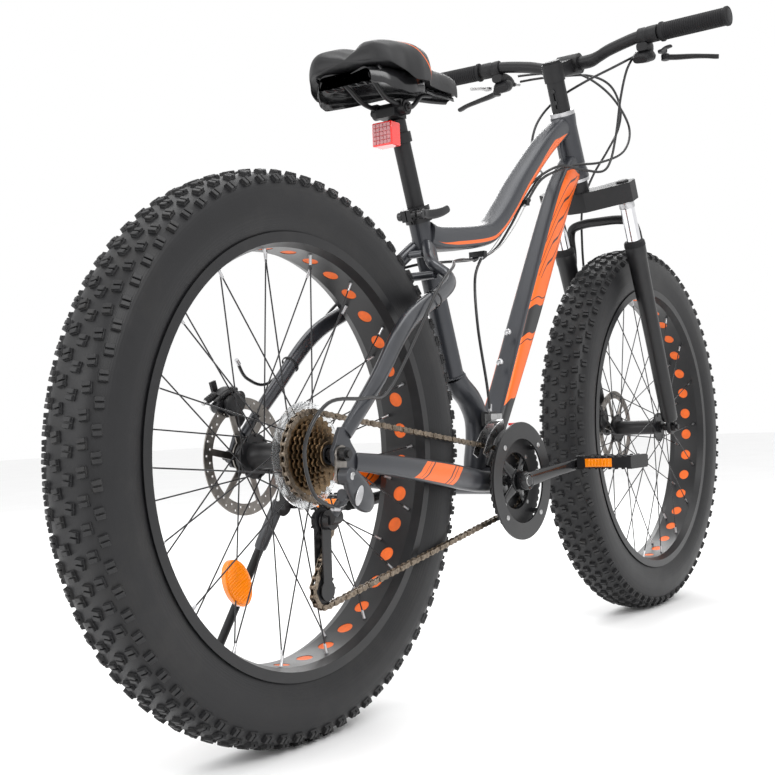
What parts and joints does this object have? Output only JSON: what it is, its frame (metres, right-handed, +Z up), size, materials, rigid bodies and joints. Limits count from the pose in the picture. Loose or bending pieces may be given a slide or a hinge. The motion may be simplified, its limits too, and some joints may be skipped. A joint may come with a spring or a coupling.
{
  "type": "bicycle",
  "caption": "Fat-tyred mountain bike with a sloping frame, short-travel fork, disc brakes, geared chain drive, saddle and side stand.",
  "frame": {"origin": "on the ground, midway between the two wheel axles, in the bicycle's middle plane", "axes": "+X forwards, +Y to the rider's left, +Z up"},
  "size_m": [1.914, 0.6586, 1.1313],
  "materials": {
    "frame_paint": "satin charcoal-grey paint",
    "stay_paint": "glossy dark grey paint",
    "black_metal": "matte black coating",
    "bright_steel": "brushed",
    "chrome": "polished",
    "alloy": "satin",
    "cog_steel": "brown oxide",
    "chain_steel": "oiled",
    "tyre": "matte",
    "grip_rubber": "textured",
    "cable_housing": "smooth",
    "black_plastic": "fine grain",
    "gloss_black_plastic": "ribbed",
    "reflector": "prismatic",
    "guard_plastic": "satin",
    "saddle_cover": "soft grain"
  },
  "bodies": {
    "frame": {"head_tube": "frame_paint", "top_tube": "frame_paint", "down_tube": "frame_paint", "seat_tube": "frame_paint", "chainstays": "frame_paint", "seatstays": "stay_paint", "bearing_cups": "alloy", "seat_clamp": "black_metal", "derailleur_hanger": "alloy", "rear_axle": "bright_steel", "rear_caliper": "black_metal", "kickstand_bracket": "black_metal", "front_derailleur_body": "bright_steel", "rear_derailleur_body": "black_metal", "control_cables": "cable_housing", "chain": "chain_steel"},
    "steering": {"fork_crown": "black_metal", "stanchions": "chrome", "fork_springs": "bright_steel", "stem": "black_metal", "handlebar": "black_metal", "grips": "grip_rubber", "control_units": "black_plastic"},
    "brake_lever_left": {"brake_lever_left": "black_metal"},
    "brake_lever_right": {"brake_lever_right": "black_metal"},
    "shift_lever_left": {"shift_lever_left": "alloy"},
    "shift_lever_right": {"shift_lever_right": "alloy"},
    "fork_lowers": {"fork_lowers": "black_metal", "front_axle": "bright_steel", "front_caliper": "black_metal"},
    "front_brake_arm": {"front_brake_arm": "black_metal"},
    "front_wheel": {"front_hub": "black_metal", "front_rim": "black_metal", "front_tyre": "tyre", "front_spokes": "black_metal", "front_disc": "bright_steel"},
    "rear_wheel": {"rear_hub": "black_metal", "rear_rim": "black_metal", "rear_tyre": "tyre", "rear_spokes": "black_metal", "rear_disc": "bright_steel"},
    "freewheel": {"freewheel": "cog_steel"},
    "crankset": {"crank_arms": "black_metal", "chainrings": "black_metal", "chain_guard": "guard_plastic"},
    "pedal_left": {"pedal_left": "black_plastic"},
    "pedal_right": {"pedal_right": "black_plastic"},
    "rear_derailleur_link": {"rear_derailleur_link": "black_metal"},
    "rear_derailleur_knuckle": {"rear_derailleur_knuckle": "black_metal"},
    "derailleur_cage": {"derailleur_cage": "black_metal"},
    "upper_jockey_wheel": {"upper_jockey_wheel": "black_plastic"},
    "lower_jockey_wheel": {"lower_jockey_wheel": "black_plastic"},
    "front_derailleur_cage": {"front_derailleur_cage": "bright_steel"},
    "kickstand_leg": {"kickstand_leg": "black_metal"},
    "rear_brake_arm": {"rear_brake_arm": "black_metal"},
    "seatpost": {"seatpost": "black_metal", "saddle_base": "gloss_black_plastic", "saddle_cover": "saddle_cover", "rear_reflector": "reflector"},
    "seat_clamp_lever": {"seat_clamp_lever": "black_metal"}
  },
  "joints": [
    {"name": "steering", "type": "hinge", "parent": "frame", "child": "steering", "pos_m": [0.31027, 0, 0.92743], "axis": [-0.3746, 0, 0.9272], "range_deg": [-60, 60], "deforming": ["control_cables"]},
    {"name": "fork_travel", "type": "slide", "parent": "steering", "child": "fork_lowers", "axis": [-0.3746, 0, 0.9272], "range_m": [0, 0.06], "stiffness_N_per_m": 9000, "springref_m": -0.03, "deforming": ["fork_springs"]},
    {"name": "front_wheel_spin", "type": "hinge", "parent": "fork_lowers", "child": "front_wheel", "pos_m": [0.582, 0, 0.375], "axis": [0, 1, 0], "continuous": true},
    {"name": "front_brake_pull", "type": "hinge", "parent": "fork_lowers", "child": "front_brake_arm", "pos_m": [0.51087, 0.0525, 0.3954], "axis": [0, 1, 0], "range_deg": [-22, 0], "stiffness_Nm_per_rad": 0.6, "springref_deg": 11.46},
    {"name": "brake_lever_left_pull", "type": "hinge", "parent": "steering", "child": "brake_lever_left", "pos_m": [0.36212, 0.183, 1.08184], "axis": [0, 0, 1], "range_deg": [0, 16], "stiffness_Nm_per_rad": 4, "springref_deg": -5.73},
    {"name": "brake_lever_right_pull", "type": "hinge", "parent": "steering", "child": "brake_lever_right", "pos_m": [0.36212, -0.183, 1.08184], "axis": [0, 0, -1], "range_deg": [0, 16], "stiffness_Nm_per_rad": 4, "springref_deg": -5.73},
    {"name": "shift_lever_left_push", "type": "hinge", "parent": "steering", "child": "shift_lever_left", "pos_m": [0.33413, 0.189, 1.08184], "axis": [0, 0, 1], "range_deg": [-25, 0], "stiffness_Nm_per_rad": 0.5, "springref_deg": 11.46},
    {"name": "shift_lever_right_push", "type": "hinge", "parent": "steering", "child": "shift_lever_right", "pos_m": [0.33413, -0.189, 1.08184], "axis": [0, 0, -1], "range_deg": [-25, 0], "stiffness_Nm_per_rad": 0.5, "springref_deg": 11.46},
    {"name": "rear_wheel_spin", "type": "hinge", "parent": "frame", "child": "rear_wheel", "pos_m": [-0.582, 0, 0.375], "axis": [0, 1, 0], "continuous": true},
    {"name": "rear_brake_pull", "type": "hinge", "parent": "frame", "child": "rear_brake_arm", "pos_m": [-0.60487, 0.0705, 0.44538], "axis": [0, 1, 0], "range_deg": [-22, 0], "stiffness_Nm_per_rad": 0.6, "springref_deg": 11.46},
    {"name": "crank_spin", "type": "hinge", "parent": "frame", "child": "crankset", "pos_m": [-0.092, 0, 0.308], "axis": [0, 1, 0], "continuous": true},
    {"name": "freewheel_spin", "type": "hinge", "parent": "frame", "child": "freewheel", "pos_m": [-0.582, 0, 0.375], "axis": [0, 1, 0], "continuous": true},
    {"name": "pedal_right_spin", "type": "hinge", "parent": "crankset", "child": "pedal_right", "pos_m": [0.07673, -0.16, 0.32872], "axis": [0, 1, 0], "continuous": true},
    {"name": "pedal_left_spin", "type": "hinge", "parent": "crankset", "child": "pedal_left", "pos_m": [-0.26073, 0.16, 0.28728], "axis": [0, 1, 0], "continuous": true},
    {"name": "rear_derailleur_shift", "type": "hinge", "parent": "frame", "child": "rear_derailleur_link", "pos_m": [-0.576, -0.094, 0.323], "axis": [1, 0, 0], "range_deg": [-42, 0], "deforming": ["chain"]},
    {"name": "rear_derailleur_parallel", "type": "hinge", "parent": "rear_derailleur_link", "child": "rear_derailleur_knuckle", "pos_m": [-0.566, -0.064, 0.293], "axis": [1, 0, 0], "range_deg": [0, 42]},
    {"name": "cage_tension", "type": "hinge", "parent": "rear_derailleur_knuckle", "child": "derailleur_cage", "pos_m": [-0.566, -0.058, 0.288], "axis": [0, 1, 0], "range_deg": [-12, 30], "stiffness_Nm_per_rad": 0.8},
    {"name": "upper_jockey_spin", "type": "hinge", "parent": "derailleur_cage", "child": "upper_jockey_wheel", "pos_m": [-0.566, -0.0455, 0.288], "axis": [0, 1, 0], "continuous": true},
    {"name": "lower_jockey_spin", "type": "hinge", "parent": "derailleur_cage", "child": "lower_jockey_wheel", "pos_m": [-0.568, -0.0455, 0.197], "axis": [0, 1, 0], "continuous": true},
    {"name": "front_derailleur_shift", "type": "slide", "parent": "frame", "child": "front_derailleur_cage", "axis": [0, -1, 0], "range_m": [0, 0.014]},
    {"name": "kickstand_fold", "type": "hinge", "parent": "frame", "child": "kickstand_leg", "pos_m": [-0.475, 0.106, 0.3], "axis": [0.112, 0.9161, 0.385], "range_deg": [0, 80]},
    {"name": "seatpost_height", "type": "slide", "parent": "frame", "child": "seatpost", "axis": [-0.3223, 0, 0.9466], "range_m": [-0.08, 0.06]},
    {"name": "seat_clamp_open", "type": "hinge", "parent": "frame", "child": "seat_clamp_lever", "pos_m": [-0.26387, -0.025, 0.72908], "axis": [-0.3223, 0, 0.9466], "range_deg": [-120, 0]}
  ],
  "couplings": [
    {"joint": "freewheel_spin", "follows": "crank_spin", "ratio": 0.85714},
    {"joint": "upper_jockey_spin", "follows": "crank_spin", "ratio": -2.1818},
    {"joint": "lower_jockey_spin", "follows": "crank_spin", "ratio": 2.1818},
    {"joint": "rear_derailleur_parallel", "follows": "rear_derailleur_shift", "ratio": -1}
  ]
}
